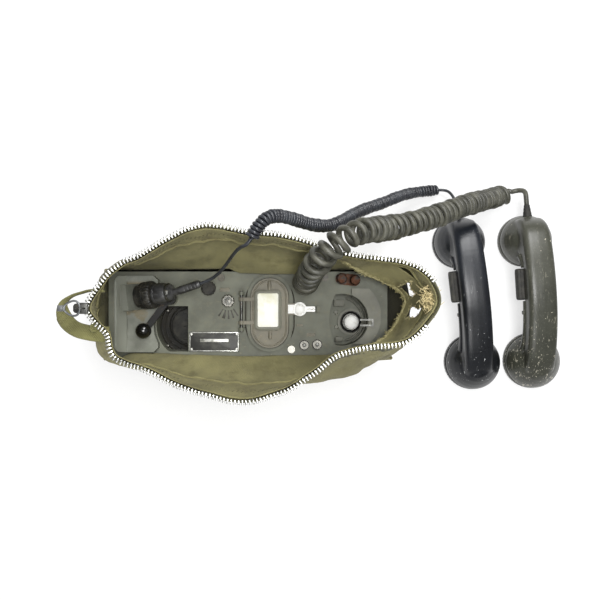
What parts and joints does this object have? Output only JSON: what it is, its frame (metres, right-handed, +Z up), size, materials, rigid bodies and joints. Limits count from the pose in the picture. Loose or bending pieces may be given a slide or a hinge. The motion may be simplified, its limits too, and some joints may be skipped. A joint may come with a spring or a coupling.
{
  "type": "field telephone",
  "caption": "Field telephone with crank generator in an open zipped canvas bag, battery lid with latch, selector, plug-in handset and a second handset, both on curly cords",
  "frame": {"origin": "centre of the underside of the bag's base, which rests on the floor", "axes": "+X along the case towards the handsets, +Y towards the side where the cords leave the bag, +Z up"},
  "size_m": [0.5691, 0.2593, 0.2611],
  "materials": {
    "board": "board with parts",
    "brass": "plain brass",
    "canvas": "olive cotton canvas, washed out and dusty",
    "canvas_base": "olive canvas over a stiffener",
    "case_paint": "worn dark olive paint",
    "copper": "tarnished copper brown",
    "dark_steel": "blackened steel",
    "gloss_black": "polished black",
    "housing_paint": "worn olive paint, khaki where rubbed",
    "navy_plastic": "navy black moulding, lightly scratched",
    "nickel": "dull nickel",
    "olive_plastic": "olive grey moulding, worn and scratched",
    "panel_paint": "worn dark olive paint over cast metal",
    "plate_metal": "black plate with a bare border, no words",
    "plug_black": "black, worn",
    "receptacle_metal": "dark plated metal",
    "rubber": "black rubber, dull",
    "screw_steel": "slotted steel, worn",
    "steel": "plain steel",
    "thick_cord": "olive black jacket",
    "thin_cord": "navy black jacket",
    "webbing": "olive cotton webbing",
    "well_plastic": "moulded black",
    "white_metal": "white painted metal",
    "white_plastic": "white plastic",
    "window_cream": "cream card behind a clear face",
    "zinc": "cell jacket",
    "zip_metal": "worn nickel on brass",
    "zipper": "olive tape with bright metal teeth"
  },
  "bodies": {
    "root": {"bag_base": "canvas_base", "bag_shell": "canvas", "zipper_chain": "zipper", "zip_slider": "zip_metal", "carry_loop": "webbing", "case_shell": "case_paint", "panel_plate": "panel_paint", "panel_screws": "screw_steel", "nameplate": "plate_metal", "end_housing": "housing_paint", "audio_receptacle": "receptacle_metal", "rest_pad": "rubber", "cradle_rest": "housing_paint", "cradle_ring": "panel_paint", "cradle_clip": "steel", "selector_nut": "nickel", "lid_hinge_pin": "steel", "battery_well": "well_plastic", "battery_cells": "zinc", "battery_contact": "brass", "generator_frame": "steel", "circuit_board": "board", "buzzer": "brass", "line_post_bases": "copper", "small_terminals": "nickel", "cord_gland": "rubber", "hook_spring": "steel", "thin_lead_plug": "thin_cord", "thin_coil": "thin_cord", "thick_coil": "thick_cord"},
    "crank": {"crank_arm": "dark_steel", "drive_gear": "brass"},
    "knob": {"crank_knob": "gloss_black"},
    "armature": {"armature": "steel"},
    "selector": {"selector_dial": "nickel"},
    "volume": {"volume_knob": "plug_black"},
    "lid": {"battery_lid": "panel_paint", "lid_window": "window_cream"},
    "latch": {"latch_lever": "white_metal"},
    "button": {"hook_button": "white_plastic"},
    "post_cap_1": {"line_post_cap_1": "copper"},
    "post_cap_2": {"line_post_cap_2": "copper"},
    "pull": {"zip_pull": "zip_metal"},
    "plug": {"plug_body": "plug_black", "plug_boot": "rubber"},
    "plug_ring": {"plug_ring": "plug_black"},
    "left_handset": {"left_shell": "navy_plastic", "left_capsules": "steel", "left_ear_cap": "navy_plastic", "left_mouth_cap": "navy_plastic", "left_boot": "thin_cord", "thin_lead_handset": "thin_cord"},
    "left_talk": {"left_talk_bar": "plug_black"},
    "right_handset": {"right_shell": "olive_plastic", "right_capsules": "steel", "right_ear_cap": "olive_plastic", "right_mouth_cap": "olive_plastic", "right_boot": "thick_cord", "thick_lead": "thick_cord"},
    "right_talk": {"right_talk_bar": "plug_black"}
  },
  "joints": [
    {"name": "crank_turn", "type": "hinge", "parent": "root", "child": "crank", "pos_m": [-0.0857, 0.0179, 0.13], "axis": [0, 0, 1], "range_deg": [0, 170]},
    {"name": "knob_spin", "type": "hinge", "parent": "crank", "child": "knob", "pos_m": [-0.1122, -0.0174, 0.14], "axis": [0, 0, 1], "continuous": true},
    {"name": "armature_spin", "type": "hinge", "parent": "root", "child": "armature", "pos_m": [-0.11624, 0.00678, 0.06], "axis": [0, 0, 1], "continuous": true},
    {"name": "selector_turn", "type": "hinge", "parent": "root", "child": "selector", "pos_m": [-0.0223, 0.0151, 0.116], "axis": [0, 0, 1], "range_deg": [-40, 40]},
    {"name": "volume_turn", "type": "hinge", "parent": "root", "child": "volume", "pos_m": [-0.0439, 0.0292, 0.118], "axis": [0, 0, 1], "range_deg": [0, 270]},
    {"name": "lid_open", "type": "hinge", "parent": "root", "child": "lid", "pos_m": [-0.007, 0.0035, 0.1196], "axis": [0, -1, 0], "range_deg": [0, 110]},
    {"name": "latch_turn", "type": "hinge", "parent": "lid", "child": "latch", "pos_m": [0.0579, 0.0061, 0.1226], "axis": [0, 0, 1], "range_deg": [-90, 0]},
    {"name": "hook_press", "type": "slide", "parent": "root", "child": "button", "axis": [0, 0, -1], "range_m": [0, 0.005], "stiffness_N_per_m": 150, "deforming": ["hook_spring"]},
    {"name": "post_press_1", "type": "slide", "parent": "root", "child": "post_cap_1", "axis": [0, 0, -1], "range_m": [0, 0.0025], "stiffness_N_per_m": 400},
    {"name": "post_press_2", "type": "slide", "parent": "root", "child": "post_cap_2", "axis": [0, 0, -1], "range_m": [0, 0.0025], "stiffness_N_per_m": 400},
    {"name": "pull_swing", "type": "hinge", "parent": "root", "child": "pull", "pos_m": [-0.158, 0.008, 0.2246], "axis": [0, 1, 0], "range_deg": [0, 150]},
    {"name": "plug_pull", "type": "slide", "parent": "root", "child": "plug", "axis": [0.9327, 0.1145, 0.342], "range_m": [0, 0.014], "deforming": ["thin_lead_plug"]},
    {"name": "ring_turn", "type": "hinge", "parent": "plug", "child": "plug_ring", "pos_m": [-0.1086, 0.0209, 0.1446], "axis": [0.9327, 0.1145, 0.342], "range_deg": [0, 60]},
    {"name": "left_slide", "type": "slide", "parent": "root", "child": "left_handset", "axis": [0, -1, 0], "range_m": [0, 0.06], "deforming": ["thin_coil", "thin_lead_handset"]},
    {"name": "left_talk_press", "type": "slide", "parent": "left_handset", "child": "left_talk", "axis": [0.9934, 0.1149, 0], "range_m": [0, 0.003], "stiffness_N_per_m": 500},
    {"name": "right_lift", "type": "slide", "parent": "root", "child": "right_handset", "axis": [0, 0, 1], "range_m": [0, 0.08], "deforming": ["thick_coil", "thick_lead"]},
    {"name": "right_talk_press", "type": "slide", "parent": "right_handset", "child": "right_talk", "axis": [0.9981, 0.061, 0], "range_m": [0, 0.003], "stiffness_N_per_m": 500}
  ],
  "couplings": [
    {"joint": "armature_spin", "follows": "crank_turn", "ratio": -3.3333}
  ]
}
